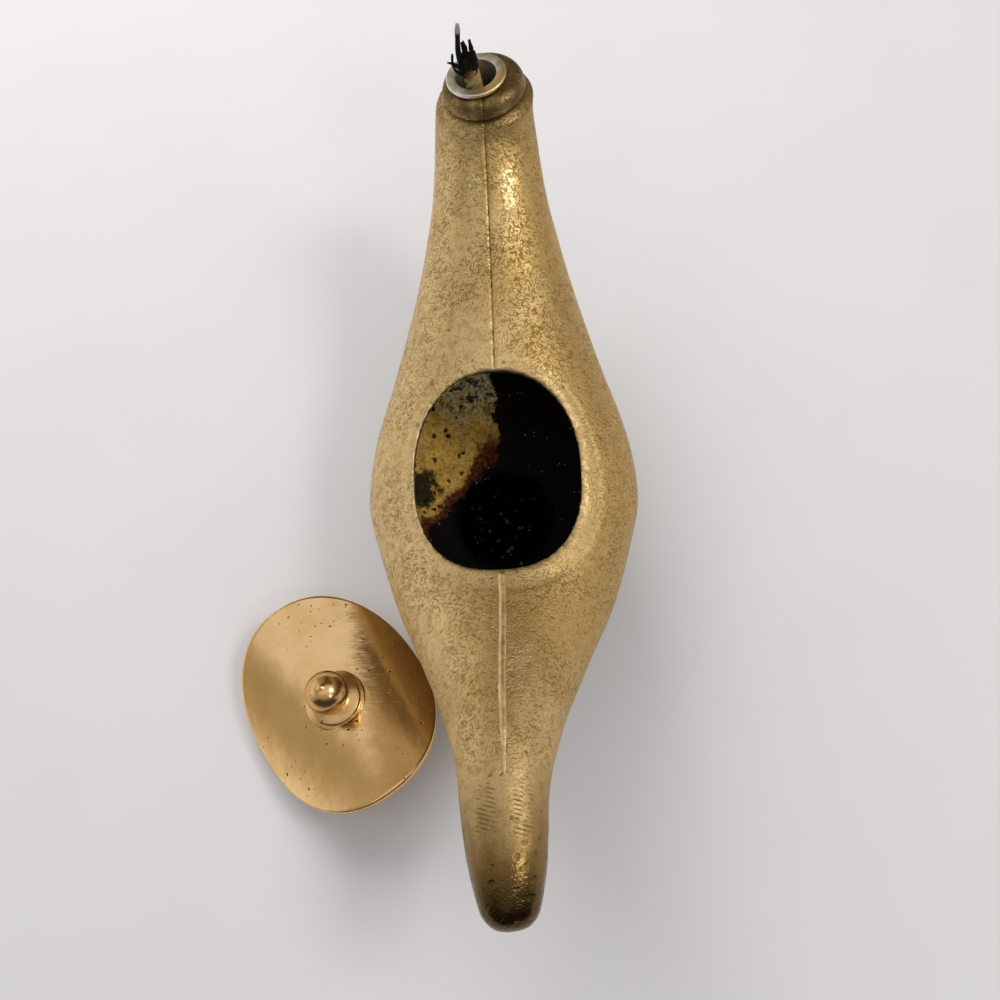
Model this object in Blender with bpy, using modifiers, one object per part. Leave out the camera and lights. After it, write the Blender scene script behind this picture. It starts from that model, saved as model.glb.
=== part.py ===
"""Covered spout oil lamp in cast brass.

Frame: +X to the right, +Y towards the wick spout, +Z up, metres.
Origin: centre of the underside of the round foot.

The hollow body is two mirrored castings that meet on the plane X = 0. A disc closes the foot,
a flanged tube holds the wick in the nozzle, and the saddle-shaped lid lies beside the lamp.
"""

import math

import bpy
from mathutils import Matrix, Vector

MM = 0.001

# ---- driving dimensions, in millimetres ------------------------------------------------
FIT_GAP = 0.3            # clearance left between neighbouring pieces
WALL = 3.2               # thickness of the cast wall

# Body sections from the tail to the nozzle: centre y, centre z, half width, half height
BODY_SECTIONS = [
    (-111.4, 67.0, 7.3, 7.0),
    (-105.0, 67.8, 8.5, 8.3),
    (-96.6, 68.0, 9.6, 9.6),
    (-82.4, 63.8, 11.3, 12.0),
    (-66.6, 55.5, 16.0, 15.5),
    (-50.6, 46.0, 23.2, 19.0),
    (-33.0, 38.0, 31.2, 22.5),
    (-15.0, 34.8, 37.0, 24.5),
    (-1.0, 35.0, 39.9, 25.0),
    (17.0, 37.5, 37.6, 24.5),
    (35.5, 41.7, 31.6, 22.5),
    (63.0, 50.0, 22.8, 19.0),
    (81.0, 59.5, 17.4, 16.0),
    (92.5, 66.0, 15.4, 14.4),
    (100.0, 71.6, 14.5, 13.8),
    (103.6, 76.6, 14.0, 13.4),
    (104.8, 80.4, 13.5, 13.1),
]
FIRST_HOLLOW_SECTION = 3  # the tail behind this section is solid metal
SECTION_SIDES = 32
STEPS_PER_SPAN = 3
CAP_STEPS = 4

FOOT_RADIUS = 28.0
FOOT_NECK_RADIUS = 20.0
FOOT_BOTTOM = 1.8
WELL_RADIUS = 14.8
WELL_MOUTH_RADIUS = 17.0
DISC_RADIUS = 27.4
DISC_THICKNESS = 1.5

OPENING_HALF_WIDTH = 23.5
OPENING_HALF_LENGTH = 28.5
OPENING_CENTRE_X = -0.3
OPENING_POWER = 2.3      # 2 would be an ellipse

NOZZLE_SEAT = (-1.64, 107.5, 89.5)   # where the wick tube's axis crosses the nozzle's top face
NOZZLE_LEAN_SIDE = -6.0              # degrees towards +X
NOZZLE_LEAN_FRONT = 7.4              # degrees towards +Y
COLLAR_OFFSET = 1.4                  # the collar's axis lies this far to +X of the tube's axis
COLLAR_RADIUS = 13.5
BORE_RADIUS = 7.15
BORE_DEPTH = 20.0

TUBE_RADIUS = 6.8
TUBE_INNER_RADIUS = 5.85
TUBE_LENGTH = 14.0
FLANGE_RADIUS = 8.7
FLANGE_THICKNESS = 1.2

WICK_RADIUS = 2.4
WICK_STEP = 5.0
# Route of the wick, from its burnt end down the tube and into the spout
WICK_ROUTE = [
    (-4.6, 107.6, 103.0),
    (-3.5, 106.6, 97.0),
    (-2.5, 105.7, 91.0),
    (-1.7, 104.6, 83.5),
    (-1.1, 103.2, 76.5),
    (-0.6, 101.9, 70.0),
    (-0.1, 98.4, 63.3),
    (0.3, 91.6, 56.8),
    (0.6, 82.3, 50.0),
    (0.8, 70.8, 42.8),
    (0.6, 58.0, 35.4),
]

LID_HALF_WIDTH = 27.0
LID_HALF_LENGTH = 35.2
LID_POWER = 2.24
LID_THICKNESS = 2.6
LID_SIDE_DROP = 5.9      # how far the long sides hang below the centre
LID_END_RISE = 4.2       # how far the two ends stand above the centre
LID_RINGS = 6
LID_SIDES = 40
LID_CENTRE = (-53.6, -55.8, 10.3)    # top of the plate at its middle, lid on the floor
LID_TURN = 34.3                      # degrees about +Z from its place on the lamp
LID_TILT = -7.5                      # degrees about its own short axis
RIM_HALF_WIDTH = 22.3
RIM_HALF_LENGTH = 27.3
RIM_DEPTH = 2.6
RIM_WALL = 1.6
SCREW_HOLE_RADIUS = 2.0
SCREW_RADIUS = 1.6
WASHER_RADIUS = 4.2
WASHER_THICKNESS = 0.8


# ---- scene helpers ---------------------------------------------------------------------
def clear_scene():
    """Start from an empty scene."""
    for obj in list(bpy.data.objects):
        bpy.data.objects.remove(obj, do_unlink=True)


def new_collection(name):
    collection = bpy.data.collections.new(name)
    bpy.context.scene.collection.children.link(collection)
    return collection


def new_material(name, colour, roughness, metallic):
    """One Principled material."""
    material = bpy.data.materials.new(name)
    material.use_nodes = True
    shader = material.node_tree.nodes["Principled BSDF"]
    shader.inputs["Base Color"].default_value = (*colour, 1.0)
    shader.inputs["Roughness"].default_value = roughness
    shader.inputs["Metallic"].default_value = metallic
    return material


def add_object(name, data, collection, material=None, parent=None):
    """Link a new object, give it its material and hang it on its parent."""
    obj = bpy.data.objects.new(name, data)
    collection.objects.link(obj)
    if material:
        obj.data.materials.append(material)
    if parent:
        obj.parent = parent
    return obj


def add_empty(name, location, collection, rotation=None):
    empty = bpy.data.objects.new(name, None)
    empty.location = Vector(location) * MM
    if rotation:
        empty.rotation_euler = rotation
    collection.objects.link(empty)
    return empty


def hide_cutter(obj):
    obj.hide_render = True
    obj.display_type = "WIRE"
    return obj


def boolean(obj, other, operation):
    modifier = obj.modifiers.new(other.name, "BOOLEAN")
    modifier.object = other
    modifier.operation = operation
    modifier.solver = "EXACT"


def bevel(obj, width, segments=2):
    modifier = obj.modifiers.new("rounded edges", "BEVEL")
    modifier.width = width * MM
    modifier.segments = segments
    modifier.limit_method = "ANGLE"
    modifier.angle_limit = math.radians(40)


def shade_round(mesh, angle=35):
    mesh.shade_smooth()
    mesh.set_sharp_from_angle(angle=math.radians(angle))


# ---- shape helpers ---------------------------------------------------------------------
def loft_mesh(name, rings):
    """Skin a list of equal rings into one closed body, with a flat cap on each end.

    Each ring runs counterclockwise as seen from the next ring.
    """
    sides = len(rings[0])
    points = [point * MM for ring in rings for point in ring]
    faces = []
    for row in range(len(rings) - 1):
        for side in range(sides):
            after = (side + 1) % sides
            low = row * sides
            high = low + sides
            faces.append((low + side, low + after, high + after, high + side))
    last = (len(rings) - 1) * sides
    faces.append(tuple(reversed(range(sides))))
    faces.append(tuple(range(last, last + sides)))
    mesh = bpy.data.meshes.new(name)
    mesh.from_pydata(points, [], faces)
    shade_round(mesh)
    return mesh


def turned_object(name, profile, steps, collection, material=None, parent=None):
    """Spin a closed outline of (radius, height) about its own Z axis with a Screw modifier."""
    mesh = bpy.data.meshes.new(name)
    points = [(radius * MM, 0.0, height * MM) for radius, height in profile]
    edges = [(i, i + 1) for i in range(len(points) - 1)]
    if min(radius for radius, _ in profile) > 0:
        edges.append((len(points) - 1, 0))
    mesh.from_pydata(points, edges, [])
    obj = add_object(name, mesh, collection, material, parent)
    screw = obj.modifiers.new("turned", "SCREW")
    screw.steps = steps
    screw.render_steps = steps
    screw.use_merge_vertices = True
    screw.merge_threshold = 0.00001
    screw.use_smooth_shade = True
    return obj


def catmull_rom(a, b, c, d, t):
    """Point between b and c on the smooth curve through a, b, c and d."""
    return 0.5 * (2 * b + (c - a) * t + (2 * a - 5 * b + 4 * c - d) * t * t
                  + (3 * b - a - 3 * c + d) * t * t * t)


def smooth_rows(rows, steps):
    """Fill a smooth run of rows in between the given ones."""
    rows = [Vector(row) for row in rows]
    padded = [2 * rows[0] - rows[1]] + rows + [2 * rows[-1] - rows[-2]]
    filled = []
    for i in range(1, len(padded) - 2):
        for step in range(steps):
            filled.append(catmull_rom(*padded[i - 1:i + 3], step / steps))
    filled.append(rows[-1])
    return filled


def section_ring(centre, tangent, half_width, half_height):
    """One elliptical section of the body, square to the tangent of its centre line."""
    up = Vector((0.0, -tangent.z, tangent.y))
    across = Vector((1.0, 0.0, 0.0))
    ring = []
    for side in range(SECTION_SIDES):
        angle = 2 * math.pi * side / SECTION_SIDES
        ring.append(centre - across * half_width * math.cos(angle)
                    + up * half_height * math.sin(angle))
    return ring


def body_rings(sections, wall):
    """Rings of the body's skin, or of its hollow when wall is more than zero."""
    rows = smooth_rows(sections, STEPS_PER_SPAN)
    centres = [Vector((0.0, row[0], row[1])) for row in rows]
    rings = []
    for i, row in enumerate(rows):
        before = centres[max(i - 1, 0)]
        after = centres[min(i + 1, len(rows) - 1)]
        tangent = (after - before).normalized()
        if i == 0:
            for step in range(CAP_STEPS):
                angle = math.radians(12 + 78 * step / CAP_STEPS)
                middle = centres[0] - tangent * (row[3] - wall) * math.cos(angle)
                spread = math.sin(angle)
                rings.append(section_ring(middle, tangent, (row[2] - wall) * spread,
                                          (row[3] - wall) * spread))
        rings.append(section_ring(centres[i], tangent, row[2] - wall, row[3] - wall))
    return rings


def oval(half_width, half_length, power, sides):
    """Outline of an oval with slightly straightened sides."""
    outline = []
    for side in range(sides):
        angle = 2 * math.pi * side / sides
        x = abs(math.cos(angle)) ** (2 / power) * half_width
        y = abs(math.sin(angle)) ** (2 / power) * half_length
        outline.append((math.copysign(x, math.cos(angle)), math.copysign(y, math.sin(angle))))
    return outline


def saddle_height(x, y):
    """Height of the lid's top face over its middle."""
    return LID_END_RISE * (y / LID_HALF_LENGTH) ** 2 - LID_SIDE_DROP * (x / LID_HALF_WIDTH) ** 2


# ---- body ------------------------------------------------------------------------------
def make_nozzle_seat(collection):
    rotation = (-math.radians(NOZZLE_LEAN_FRONT), math.radians(NOZZLE_LEAN_SIDE), 0.0)
    return add_empty("nozzle_seat", NOZZLE_SEAT, collection, rotation)


def make_body_tools(cutters, seat):
    """Every shape that adds to the cast body or is taken out of it."""
    skin = loft_mesh("body_skin", body_rings(BODY_SECTIONS, 0.0))
    hollow = add_object("body_hollow", loft_mesh("body_hollow", body_rings(
        BODY_SECTIONS[FIRST_HOLLOW_SECTION:], WALL)), cutters)

    foot = turned_object("foot_form", [
        (0.0, 18.0), (17.0, 18.0), (FOOT_NECK_RADIUS, 13.5), (FOOT_NECK_RADIUS + 0.6, 10.0),
        (FOOT_NECK_RADIUS + 3.0, 7.0), (FOOT_RADIUS - 1.5, 5.0), (FOOT_RADIUS, 3.6),
        (FOOT_RADIUS, FOOT_BOTTOM), (0.0, FOOT_BOTTOM)], 56, cutters)
    well = turned_object("foot_well", [
        (0.0, 20.0), (WELL_RADIUS, 20.0), (WELL_RADIUS, 6.0), (WELL_MOUTH_RADIUS, FOOT_BOTTOM),
        (WELL_MOUTH_RADIUS, 0.0), (0.0, 0.0)], 40, cutters)

    collar = turned_object("collar_form", [
        (0.0, 0.0), (9.8, 0.0), (10.9, -0.6), (11.8, -1.9), (12.3, -4.0), (12.2, -4.8),
        (11.7, -5.2), (11.9, -5.7), (12.9, -6.2), (COLLAR_RADIUS, -7.4), (COLLAR_RADIUS, -9.0),
        (12.9, -11.0), (11.5, -13.5), (9.0, -15.5), (0.0, -15.5)], 44, cutters, parent=seat)
    collar.location.x = COLLAR_OFFSET * MM
    bore = turned_object("wick_bore", [
        (0.0, 4.0), (BORE_RADIUS, 4.0), (BORE_RADIUS, -BORE_DEPTH), (0.0, -BORE_DEPTH)],
        40, cutters, parent=seat)

    outline = oval(OPENING_HALF_WIDTH, OPENING_HALF_LENGTH, OPENING_POWER, 64)
    rings = [[Vector((x + OPENING_CENTRE_X, y, z)) for x, y in outline] for z in (38.0, 80.0)]
    opening = add_object("lid_opening", loft_mesh("lid_opening", rings), cutters)
    for tool in (hollow, foot, well, collar, bore, opening):
        hide_cutter(tool)
    return skin, (foot, collar), (hollow, well, bore, opening)


def make_half(name, side, skin, added, removed, collection, cutters, material):
    """One casting: the whole body, cut away past the joint plane."""
    half = add_object(name, skin.copy(), collection, material)
    for form in added:
        boolean(half, form, "UNION")
    for form in removed:
        boolean(half, form, "DIFFERENCE")
    bpy.ops.mesh.primitive_cube_add(size=1.0)
    block = hide_cutter(bpy.context.object)
    block.name = name + "_side"
    block.data.transform(Matrix.Diagonal((60 * MM, 280 * MM, 140 * MM, 1.0)))
    block.location = (side * (30 + FIT_GAP / 2) * MM, 0.0, 50 * MM)
    for owner in block.users_collection:
        owner.objects.unlink(block)
    cutters.objects.link(block)
    boolean(half, block, "INTERSECT")
    return half


def make_base_disc(collection, material):
    bpy.ops.mesh.primitive_cylinder_add(vertices=64, radius=DISC_RADIUS * MM,
                                        depth=DISC_THICKNESS * MM)
    disc = bpy.context.object
    disc.name = "base_disc"
    disc.location.z = DISC_THICKNESS / 2 * MM
    for owner in disc.users_collection:
        owner.objects.unlink(disc)
    collection.objects.link(disc)
    disc.data.materials.append(material)
    bevel(disc, 0.3)
    shade_round(disc.data)
    return disc


# ---- wick ------------------------------------------------------------------------------
def make_wick_tube(collection, seat, material):
    top = FIT_GAP + FLANGE_THICKNESS
    return turned_object("wick_tube", [
        (TUBE_INNER_RADIUS, top - 0.3), (TUBE_INNER_RADIUS + 0.3, top), (FLANGE_RADIUS - 0.4, top),
        (FLANGE_RADIUS, top - 0.4), (FLANGE_RADIUS, FIT_GAP + 0.2), (FLANGE_RADIUS - 0.2, FIT_GAP),
        (TUBE_RADIUS, FIT_GAP), (TUBE_RADIUS, -TUBE_LENGTH), (TUBE_INNER_RADIUS, -TUBE_LENGTH)],
        48, collection, material, seat)


def make_wick(collection, material):
    """The wick as one plain round cord, from its burnt end to its free end in the spout."""
    curve = bpy.data.curves.new("wick", "CURVE")
    curve.dimensions = "3D"
    curve.bevel_depth = WICK_RADIUS * MM
    curve.bevel_resolution = 3
    curve.use_fill_caps = True
    spans = len(WICK_ROUTE) - 1
    length = sum((Vector(b) - Vector(a)).length for a, b in zip(WICK_ROUTE, WICK_ROUTE[1:]))
    points = smooth_rows(WICK_ROUTE, max(2, round(length / spans / WICK_STEP)))
    spline = curve.splines.new("POLY")
    spline.points.add(len(points) - 1)
    for slot, point in zip(spline.points, points):
        slot.co = (*(point * MM), 1.0)
    return add_object("wick", curve, collection, material)


# ---- lid -------------------------------------------------------------------------------
def make_lid_seat(collection):
    rotation = Matrix.Rotation(math.radians(LID_TURN), 3, "Z")
    rotation @= Matrix.Rotation(math.radians(LID_TILT), 3, "X")
    return add_empty("lid_on_floor", LID_CENTRE, collection, rotation.to_euler())


def make_lid_plate(collection, cutters, seat, material):
    """A saddle-shaped oval: rings of one open surface, thickened downwards."""
    outline = oval(LID_HALF_WIDTH, LID_HALF_LENGTH, LID_POWER, LID_SIDES)
    points = [(0.0, 0.0, 0.0)]
    for ring in range(1, LID_RINGS + 1):
        share = ring / LID_RINGS
        for x, y in outline:
            points.append((x * share, y * share, saddle_height(x * share, y * share)))
    faces = [(0, 1 + side, 1 + (side + 1) % LID_SIDES) for side in range(LID_SIDES)]
    for ring in range(LID_RINGS - 1):
        for side in range(LID_SIDES):
            after = (side + 1) % LID_SIDES
            inner = 1 + ring * LID_SIDES
            outer = inner + LID_SIDES
            faces.append((inner + side, outer + side, outer + after, inner + after))
    mesh = bpy.data.meshes.new("lid_plate")
    mesh.from_pydata([Vector(point) * MM for point in points], [], faces)
    shade_round(mesh, 50)
    plate = add_object("lid_plate", mesh, collection, material, seat)
    solidify = plate.modifiers.new("thickness", "SOLIDIFY")
    solidify.thickness = LID_THICKNESS * MM
    solidify.offset = -1.0
    bevel(plate, 0.6)
    hole = turned_object("screw_hole", [
        (0.0, 4.0), (SCREW_HOLE_RADIUS, 4.0), (SCREW_HOLE_RADIUS, -6.0), (0.0, -6.0)],
        24, cutters, parent=seat)
    boolean(plate, hide_cutter(hole), "DIFFERENCE")
    return plate


def make_lid_rim(collection, seat, material):
    """The locating rim: an oval band under the plate that drops into the opening."""
    outline = oval(RIM_HALF_WIDTH, RIM_HALF_LENGTH, OPENING_POWER, LID_SIDES)
    points = []
    for depth in (FIT_GAP, FIT_GAP + RIM_DEPTH):
        for x, y in outline:
            points.append((x, y, saddle_height(x, y) - LID_THICKNESS - depth))
    faces = []
    for side in range(LID_SIDES):
        after = (side + 1) % LID_SIDES
        faces.append((LID_SIDES + side, LID_SIDES + after, after, side))
    mesh = bpy.data.meshes.new("lid_locating_rim")
    mesh.from_pydata([Vector(point) * MM for point in points], [], faces)
    shade_round(mesh)
    rim = add_object("lid_locating_rim", mesh, collection, material, seat)
    solidify = rim.modifiers.new("thickness", "SOLIDIFY")
    solidify.thickness = RIM_WALL * MM
    solidify.offset = -1.0
    return rim


def make_lid_knob(collection, seat, material):
    """Stepped collar, waist and ball, drilled from below for the screw."""
    ball_radius = 6.5
    ball_height = 11.6
    profile = [(0.0, ball_height + ball_radius + 0.5)]
    for step in range(1, 10):
        angle = math.radians(14 * step)
        profile.append((ball_radius * math.sin(angle), ball_height + ball_radius * math.cos(angle)))
    profile += [(4.4, 6.4), (4.0, 5.4), (4.6, 4.5), (7.2, 4.1), (7.9, 3.6), (8.0, 2.9),
                (9.2, 2.6), (9.5, 2.2), (9.5, 0.8), (9.1, 0.4), (1.9, 0.4), (1.9, 8.6), (0.0, 9.0)]
    return turned_object("lid_knob", profile, 36, collection, material, seat)


def make_lid_screw(collection, seat, material):
    under = -LID_THICKNESS - 0.4 - WASHER_THICKNESS - FIT_GAP
    return turned_object("knob_screw", [
        (0.0, 8.0), (SCREW_RADIUS - 0.4, 8.0), (SCREW_RADIUS, 7.4), (SCREW_RADIUS, under),
        (3.2, under), (3.2, under - 0.6), (2.0, under - 1.3), (0.0, under - 1.4)],
        28, collection, material, seat)


def make_lid_washer(collection, seat, material):
    top = -LID_THICKNESS - 0.4
    bottom = top - WASHER_THICKNESS
    return turned_object("knob_washer", [
        (2.0, bottom), (2.0, top), (WASHER_RADIUS, top), (WASHER_RADIUS, bottom)],
        32, collection, material, seat)


# ---- whole lamp ------------------------------------------------------------------------
def main():
    clear_scene()
    lamp = new_collection("brass_spout_oil_lamp")
    cutters = new_collection("cutters")

    cast_left = new_material("cast_brass_left", (0.42, 0.30, 0.13), 0.50, 0.85)
    cast_right = new_material("cast_brass_right", (0.42, 0.30, 0.13), 0.50, 0.85)
    disc_brass = new_material("sheet_brass", (0.45, 0.33, 0.15), 0.42, 0.90)
    silvered = new_material("silvered_tube", (0.60, 0.58, 0.54), 0.38, 0.90)
    cotton = new_material("cotton_wick", (0.45, 0.33, 0.14), 0.90, 0.0)
    lid_brass = new_material("polished_lid_brass", (0.56, 0.39, 0.15), 0.20, 1.0)
    rim_brass = new_material("rim_brass", (0.50, 0.36, 0.15), 0.35, 1.0)
    knob_brass = new_material("polished_knob_brass", (0.58, 0.40, 0.15), 0.16, 1.0)
    screw_brass = new_material("screw_brass", (0.50, 0.37, 0.17), 0.35, 1.0)
    washer_brass = new_material("washer_brass", (0.48, 0.35, 0.16), 0.40, 1.0)

    nozzle_seat = make_nozzle_seat(lamp)
    skin, added, removed = make_body_tools(cutters, nozzle_seat)
    make_half("body_left_half", -1, skin, added, removed, lamp, cutters, cast_left)
    make_half("body_right_half", 1, skin, added, removed, lamp, cutters, cast_right)
    make_base_disc(lamp, disc_brass)

    make_wick_tube(lamp, nozzle_seat, silvered)
    make_wick(lamp, cotton)

    lid_seat = make_lid_seat(lamp)
    make_lid_plate(lamp, cutters, lid_seat, lid_brass)
    make_lid_rim(lamp, lid_seat, rim_brass)
    make_lid_knob(lamp, lid_seat, knob_brass)
    make_lid_screw(lamp, lid_seat, screw_brass)
    make_lid_washer(lamp, lid_seat, washer_brass)
    bpy.data.meshes.remove(skin)


main()
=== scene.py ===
# %% [markdown]
# # A covered spout oil lamp in cast brass
# The real lamp is a hollow brass body cast in two halves, with a long wick spout, a solid tail
# and a round foot. Its saddle-shaped lid lies beside it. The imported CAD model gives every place
# and size, so it is loaded first, and each piece below is made around it.

# %% Load the frame
import math

import bpy
import numpy as np
from mathutils import Matrix, Vector
from mathutils.bvhtree import BVHTree


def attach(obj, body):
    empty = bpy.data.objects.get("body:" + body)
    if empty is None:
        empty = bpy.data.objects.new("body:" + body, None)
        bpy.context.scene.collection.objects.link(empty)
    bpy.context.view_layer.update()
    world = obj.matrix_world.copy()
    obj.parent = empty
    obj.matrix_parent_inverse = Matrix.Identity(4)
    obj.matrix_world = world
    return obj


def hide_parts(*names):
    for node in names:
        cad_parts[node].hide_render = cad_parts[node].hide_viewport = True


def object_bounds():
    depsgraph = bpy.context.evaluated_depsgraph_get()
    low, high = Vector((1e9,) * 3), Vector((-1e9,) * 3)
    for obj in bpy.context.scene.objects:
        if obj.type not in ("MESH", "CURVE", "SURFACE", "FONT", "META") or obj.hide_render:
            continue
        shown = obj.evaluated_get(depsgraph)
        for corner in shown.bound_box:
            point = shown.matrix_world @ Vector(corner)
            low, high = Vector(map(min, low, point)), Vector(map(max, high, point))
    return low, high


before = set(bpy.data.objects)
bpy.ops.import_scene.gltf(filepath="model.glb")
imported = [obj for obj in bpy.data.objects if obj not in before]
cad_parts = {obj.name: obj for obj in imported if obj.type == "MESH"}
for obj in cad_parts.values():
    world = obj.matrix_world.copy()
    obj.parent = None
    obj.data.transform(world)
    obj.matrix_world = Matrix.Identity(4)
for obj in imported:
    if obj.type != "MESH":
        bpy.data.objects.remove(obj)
cad_low, cad_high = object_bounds()
MM = 0.001
print("CAD box, mm:", [round(side / MM, 1) for side in cad_high - cad_low])

# %% [markdown]
# The lamp is seen from above and a little from the tail end, so the camera stands over the tail
# and looks down at 71 degrees. A short distance with a 36 mm lens gives the strong perspective
# that makes the spout seem to lean away.

# %% Camera
CAMERA_PLACE = (0.01235, -0.09851, 0.31990)
CAMERA_TURN = (18.852, 3.105, -1.447)      # degrees about X, Y and Z
bpy.ops.object.camera_add(location=CAMERA_PLACE,
                          rotation=[math.radians(angle) for angle in CAMERA_TURN])
camera = bpy.context.object
camera.name = "studio_camera"
camera.data.sensor_width = 36.0
camera.data.lens = 36.11
camera.data.clip_start = 0.01
bpy.context.scene.camera = camera
bpy.context.scene.view_settings.view_transform = "Standard"
print("camera lens, mm:", round(camera.data.lens, 2))


# %% [markdown]
# Each step below uses the same few moves: clear the selection, pick one object, select points
# by their place, and hand the finished piece to its body. They are written once here.

# %% Helpers for modelling
def clear_selection():
    if bpy.context.mode != "OBJECT":
        bpy.ops.object.mode_set(mode="OBJECT")
    bpy.ops.object.select_all(action="DESELECT")


def pick(obj):
    """Makes obj the only selected object."""
    clear_selection()
    obj.select_set(True)
    bpy.context.view_layer.objects.active = obj


def points_of(obj):
    """Places of obj's points, in millimetres."""
    places = np.empty(len(obj.data.vertices) * 3)
    obj.data.vertices.foreach_get("co", places)
    return places.reshape(-1, 3) / MM


def normals_of(obj):
    directions = np.empty(len(obj.data.vertices) * 3)
    obj.data.vertices.foreach_get("normal", directions)
    return directions.reshape(-1, 3)


def move_points(obj, places):
    """Puts obj's points at places, in millimetres."""
    obj.data.vertices.foreach_set("co", (places * MM).ravel())
    obj.data.update()


def select_in(obj, part, mask):
    """Opens obj in edit mode with only the masked points or faces selected."""
    pick(obj)
    bpy.ops.object.mode_set(mode="EDIT")
    bpy.ops.mesh.select_mode(type="VERT" if part == "vertices" else "FACE")
    bpy.ops.mesh.select_all(action="DESELECT")
    bpy.ops.object.mode_set(mode="OBJECT")
    getattr(obj.data, part).foreach_set("select", np.asarray(mask, bool))
    bpy.ops.object.mode_set(mode="EDIT")


def select_all_points(obj):
    select_in(obj, "vertices", np.ones(len(obj.data.vertices)))


def apply_modifier(obj, kind, **settings):
    """Adds one modifier, sets it and applies it."""
    pick(obj)
    modifier = obj.modifiers.new(kind.lower(), kind)
    for name, value in settings.items():
        setattr(modifier, name, value)
    bpy.ops.object.modifier_apply(modifier=modifier.name)


def smooth_step(value, low, high):
    """0 below low, 1 above high, and a soft ramp between them."""
    t = np.clip((value - low) / (high - low), 0.0, 1.0)
    return t * t * (3.0 - 2.0 * t)


def place_piece(obj, turn, place):
    """Turns and moves a piece made at the origin, and leaves the place in its mesh."""
    pick(obj)
    obj.rotation_euler = turn
    obj.location = place
    bpy.ops.object.transform_apply(location=True, rotation=True, scale=True)


def hand_over(obj, name, materials, body, replaced=()):
    """Names a finished piece, gives it its materials and lets it ride on its body."""
    pick(obj)
    obj.name = name
    obj.data.name = name
    obj.data.materials.clear()
    for material in materials:
        obj.data.materials.append(material)
    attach(obj, body)
    if replaced:
        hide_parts(*replaced)
    print(name, "has", len(obj.data.polygons), "faces and rides on", body)


# %% [markdown]
# Materials are built from nodes. One function turns a printed colour into the linear value that
# the shader works with, and one adds a node with its settings and its links.

# %% Helpers for materials
def linear(hex_colour):
    channels = [int(hex_colour[i:i + 2], 16) / 255 for i in (1, 3, 5)]
    return (*[c / 12.92 if c <= 0.04045 else ((c + 0.055) / 1.055) ** 2.4 for c in channels], 1.0)


def add_node(tree, kind, inputs=None, **settings):
    """Adds one node. inputs maps a socket to a value, or to the socket that feeds it."""
    node = tree.nodes.new("ShaderNode" + kind)
    for name, value in settings.items():
        setattr(node, name, value)
    for socket, value in (inputs or {}).items():
        if isinstance(value, bpy.types.NodeSocket):
            tree.links.new(value, node.inputs[socket])
        else:
            node.inputs[socket].default_value = value
    return node


def new_material(name, **sockets):
    """A Principled material with its constant values set. Returns it, its tree and its shader."""
    material = bpy.data.materials.new(name)
    material.use_nodes = True
    shader = material.node_tree.nodes["Principled BSDF"]
    for socket, value in sockets.items():
        shader.inputs[socket.replace("_", " ")].default_value = value
    return material, material.node_tree, shader


def place_in_mm(tree):
    """Object coordinates in millimetres, so that a pattern's scale is one over its real size."""
    place = add_node(tree, "TexCoord").outputs["Object"]
    return add_node(tree, "VectorMath", {0: place, "Scale": 1000.0},
                    operation="SCALE").outputs["Vector"]


def maths(tree, operation, first, second=0.0, third=0.0):
    return add_node(tree, "Math", {0: first, 1: second, 2: third},
                    operation=operation).outputs[0]


def ramp(tree, value, low, high, start=0.0, end=1.0):
    """Soft change from start to end as value goes from low to high."""
    return add_node(tree, "MapRange", {"Value": value, "From Min": low, "From Max": high,
                                       "To Min": start, "To Max": end},
                    interpolation_type="SMOOTHSTEP").outputs["Result"]


def noise(tree, place, size, detail=3.0, roughness=0.5):
    """Cloudy pattern with patches of about size millimetres, from 0 to 1."""
    return add_node(tree, "TexNoise", {"Vector": place, "Scale": 1.0 / size, "Detail": detail,
                                       "Roughness": roughness}).outputs["Fac"]


def blend(tree, share, first, second):
    """Colour between first and second."""
    return add_node(tree, "Mix", {0: share, 6: first, 7: second},
                    data_type="RGBA").outputs[2]


def layered(tree, colour, layers):
    """Lays each (share, hex colour) over the colours below it."""
    for share, top in layers:
        colour = blend(tree, share, colour, linear(top))
    return colour


def reach_of(tree, across, along):
    """Length of a step with two sides at right angles."""
    squares = [maths(tree, "MULTIPLY", side, side) for side in (across, along)]
    return maths(tree, "SQRT", maths(tree, "ADD", *squares))


def set_relief(tree, shader, height, strength, depth):
    """Raises the surface where height is high, by up to depth millimetres."""
    normal = add_node(tree, "Bump", {"Height": height, "Strength": strength,
                                     "Distance": depth * MM}).outputs["Normal"]
    tree.links.new(normal, shader.inputs["Normal"])
    return normal


# %% [markdown]
# The wick is a limp twisted cotton cord, 4.8 mm thick and about 91 mm long. It stands out of
# the nozzle, goes down the tube and bends back into the oil in the spout. A curve is the right
# start for a cord, because it keeps an even thickness along any route. Its cross-section has
# five lobes, one for each strand, and the tilt of the curve twists them round each other.

# %% Route of the wick
WICK_DIAMETER = 4.8
WICK_ROUTE = [(-4.6, 107.6, 103.0), (-3.5, 106.6, 97.0), (-2.5, 105.7, 91.0),
              (-1.7, 104.6, 83.5), (-1.1, 103.2, 76.5), (-0.6, 101.9, 70.0),
              (-0.1, 98.4, 63.3), (0.3, 91.6, 56.8), (0.6, 82.3, 50.0),
              (0.8, 70.8, 42.8), (0.6, 58.0, 35.4)]
ROUTE_STEPS = 8


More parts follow.
